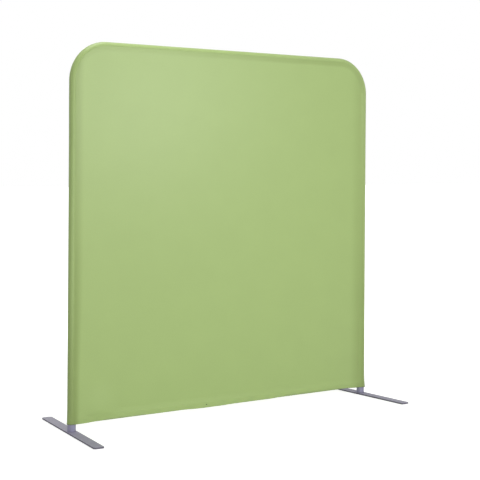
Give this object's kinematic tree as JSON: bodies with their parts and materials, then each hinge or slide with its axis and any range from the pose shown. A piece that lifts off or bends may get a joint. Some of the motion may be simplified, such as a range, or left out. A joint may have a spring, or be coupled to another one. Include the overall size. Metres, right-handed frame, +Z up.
{
  "type": "display backwall",
  "caption": "Free-standing display wall: round-tube frame with rounded top corners, a zipped stretch-fabric cover and flat swivelling foot bars.",
  "frame": {"origin": "on the floor, at the centre of the wall's footprint", "axes": "+X along the width to the right as seen from the front, -Y to the front, +Z up"},
  "size_m": [2.3068, 0.8606, 2.2999],
  "materials": {
    "frame_tube": "satin anodised",
    "ferrule": "drawn, plain",
    "spigot": "turned, satin anodised",
    "saddle": "die cast",
    "foot_steel": "satin powder coat",
    "screw_steel": "zinc plated",
    "pad_rubber": "matt",
    "washer_nylon": "moulded",
    "button_steel": "nickel plated",
    "spring_steel": "tempered strip",
    "rivet_aluminium": "plain",
    "cover_fabric": "knitted stretch polyester, matt",
    "cuff_elastic": "elastic binding",
    "zip_tape": "woven tape",
    "zip_coil": "nylon coil",
    "slider_metal": "painted zinc"
  },
  "bodies": {
    "wall": {"upright_lower_left": "frame_tube", "upright_lower_right": "frame_tube", "upright_upper_left": "frame_tube", "upright_upper_right": "frame_tube", "top_tube_left": "frame_tube", "top_tube_right": "frame_tube", "bottom_rail_left": "frame_tube", "bottom_rail_right": "frame_tube", "ferrule_mid_left": "ferrule", "ferrule_mid_right": "ferrule", "ferrule_shoulder_left": "ferrule", "ferrule_shoulder_right": "ferrule", "ferrule_top": "ferrule", "ferrule_bottom": "ferrule", "spigot_left": "spigot", "spigot_right": "spigot", "snap_spring_mid_left": "spring_steel", "snap_spring_mid_right": "spring_steel", "snap_spring_shoulder_left": "spring_steel", "snap_spring_shoulder_right": "spring_steel", "snap_spring_top": "spring_steel", "snap_spring_bottom": "spring_steel", "snap_spring_post_left": "spring_steel", "snap_spring_post_right": "spring_steel", "ferrule_rivets": "rivet_aluminium", "saddle_left": "saddle", "saddle_right": "saddle", "saddle_screws": "screw_steel", "foot_screw_left": "screw_steel", "foot_screw_right": "screw_steel", "foot_washer_left": "washer_nylon", "foot_washer_right": "washer_nylon", "cover_front": "cover_fabric", "cover_back": "cover_fabric", "cover_edge_strip": "cover_fabric", "hem_flap_front": "cover_fabric", "hem_flap_back": "cover_fabric", "post_cuff_left": "cuff_elastic", "post_cuff_right": "cuff_elastic", "zip_tape_front": "zip_tape", "zip_tape_back": "zip_tape", "zip_chain": "zip_coil", "zip_end_stops": "slider_metal"},
    "foot_left": {"foot_bar_left": "foot_steel", "foot_pads_left": "pad_rubber"},
    "foot_right": {"foot_bar_right": "foot_steel", "foot_pads_right": "pad_rubber"},
    "button_mid_left": {"snap_button_mid_left": "button_steel"},
    "button_mid_right": {"snap_button_mid_right": "button_steel"},
    "button_shoulder_left": {"snap_button_shoulder_left": "button_steel"},
    "button_shoulder_right": {"snap_button_shoulder_right": "button_steel"},
    "button_top": {"snap_button_top": "button_steel"},
    "button_bottom": {"snap_button_bottom": "button_steel"},
    "button_post_left": {"snap_button_post_left": "button_steel"},
    "button_post_right": {"snap_button_post_right": "button_steel"},
    "slider_left": {"zip_slider_left": "slider_metal"},
    "slider_right": {"zip_slider_right": "slider_metal"},
    "pull_left": {"zip_pull_left": "slider_metal"},
    "pull_right": {"zip_pull_right": "slider_metal"}
  },
  "joints": [
    {"name": "foot_left_swivel", "type": "hinge", "parent": "wall", "child": "foot_left", "pos_m": [-1.0887, 0, 0.01], "axis": [0, 0, 1], "range_deg": [-85.5, 94.5]},
    {"name": "foot_right_swivel", "type": "hinge", "parent": "wall", "child": "foot_right", "pos_m": [1.0887, 0, 0.01], "axis": [0, 0, 1], "range_deg": [-94.5, 85.5]},
    {"name": "button_mid_left_press", "type": "slide", "parent": "wall", "child": "button_mid_left", "axis": [-1, 0, 0], "range_m": [0, 0.0047], "stiffness_N_per_m": 1500, "springref_m": -0.003, "deforming": ["snap_spring_mid_left"]},
    {"name": "button_mid_right_press", "type": "slide", "parent": "wall", "child": "button_mid_right", "axis": [1, 0, 0], "range_m": [0, 0.0047], "stiffness_N_per_m": 1500, "springref_m": -0.003, "deforming": ["snap_spring_mid_right"]},
    {"name": "button_shoulder_left_press", "type": "slide", "parent": "wall", "child": "button_shoulder_left", "axis": [-1, 0, 0], "range_m": [0, 0.0047], "stiffness_N_per_m": 1500, "springref_m": -0.003, "deforming": ["snap_spring_shoulder_left"]},
    {"name": "button_shoulder_right_press", "type": "slide", "parent": "wall", "child": "button_shoulder_right", "axis": [1, 0, 0], "range_m": [0, 0.0047], "stiffness_N_per_m": 1500, "springref_m": -0.003, "deforming": ["snap_spring_shoulder_right"]},
    {"name": "button_top_press", "type": "slide", "parent": "wall", "child": "button_top", "axis": [0, 0, 1], "range_m": [0, 0.0047], "stiffness_N_per_m": 1500, "springref_m": -0.003, "deforming": ["snap_spring_top"]},
    {"name": "button_bottom_press", "type": "slide", "parent": "wall", "child": "button_bottom", "axis": [0, 0, -1], "range_m": [0, 0.0047], "stiffness_N_per_m": 1500, "springref_m": -0.003, "deforming": ["snap_spring_bottom"]},
    {"name": "button_post_left_press", "type": "slide", "parent": "wall", "child": "button_post_left", "axis": [0, -1, 0], "range_m": [0, 0.0047], "stiffness_N_per_m": 1500, "springref_m": -0.003, "deforming": ["snap_spring_post_left"]},
    {"name": "button_post_right_press", "type": "slide", "parent": "wall", "child": "button_post_right", "axis": [0, -1, 0], "range_m": [0, 0.0047], "stiffness_N_per_m": 1500, "springref_m": -0.003, "deforming": ["snap_spring_post_right"]},
    {"name": "zip_slider_left_run", "type": "slide", "parent": "wall", "child": "slider_left", "axis": [-1, 0, 0], "range_m": [0, 0.8326], "deforming": ["zip_chain"]},
    {"name": "zip_pull_left_flip", "type": "hinge", "parent": "slider_left", "child": "pull_left", "pos_m": [-0.1985, 0, 0.0475], "axis": [0, -1, 0], "range_deg": [0, 100]},
    {"name": "zip_slider_right_run", "type": "slide", "parent": "wall", "child": "slider_right", "axis": [1, 0, 0], "range_m": [0, 1.2126], "deforming": ["zip_chain"]},
    {"name": "zip_pull_right_flip", "type": "hinge", "parent": "slider_right", "child": "pull_right", "pos_m": [-0.1815, 0, 0.0475], "axis": [0, 1, 0], "range_deg": [0, 100]}
  ]
}
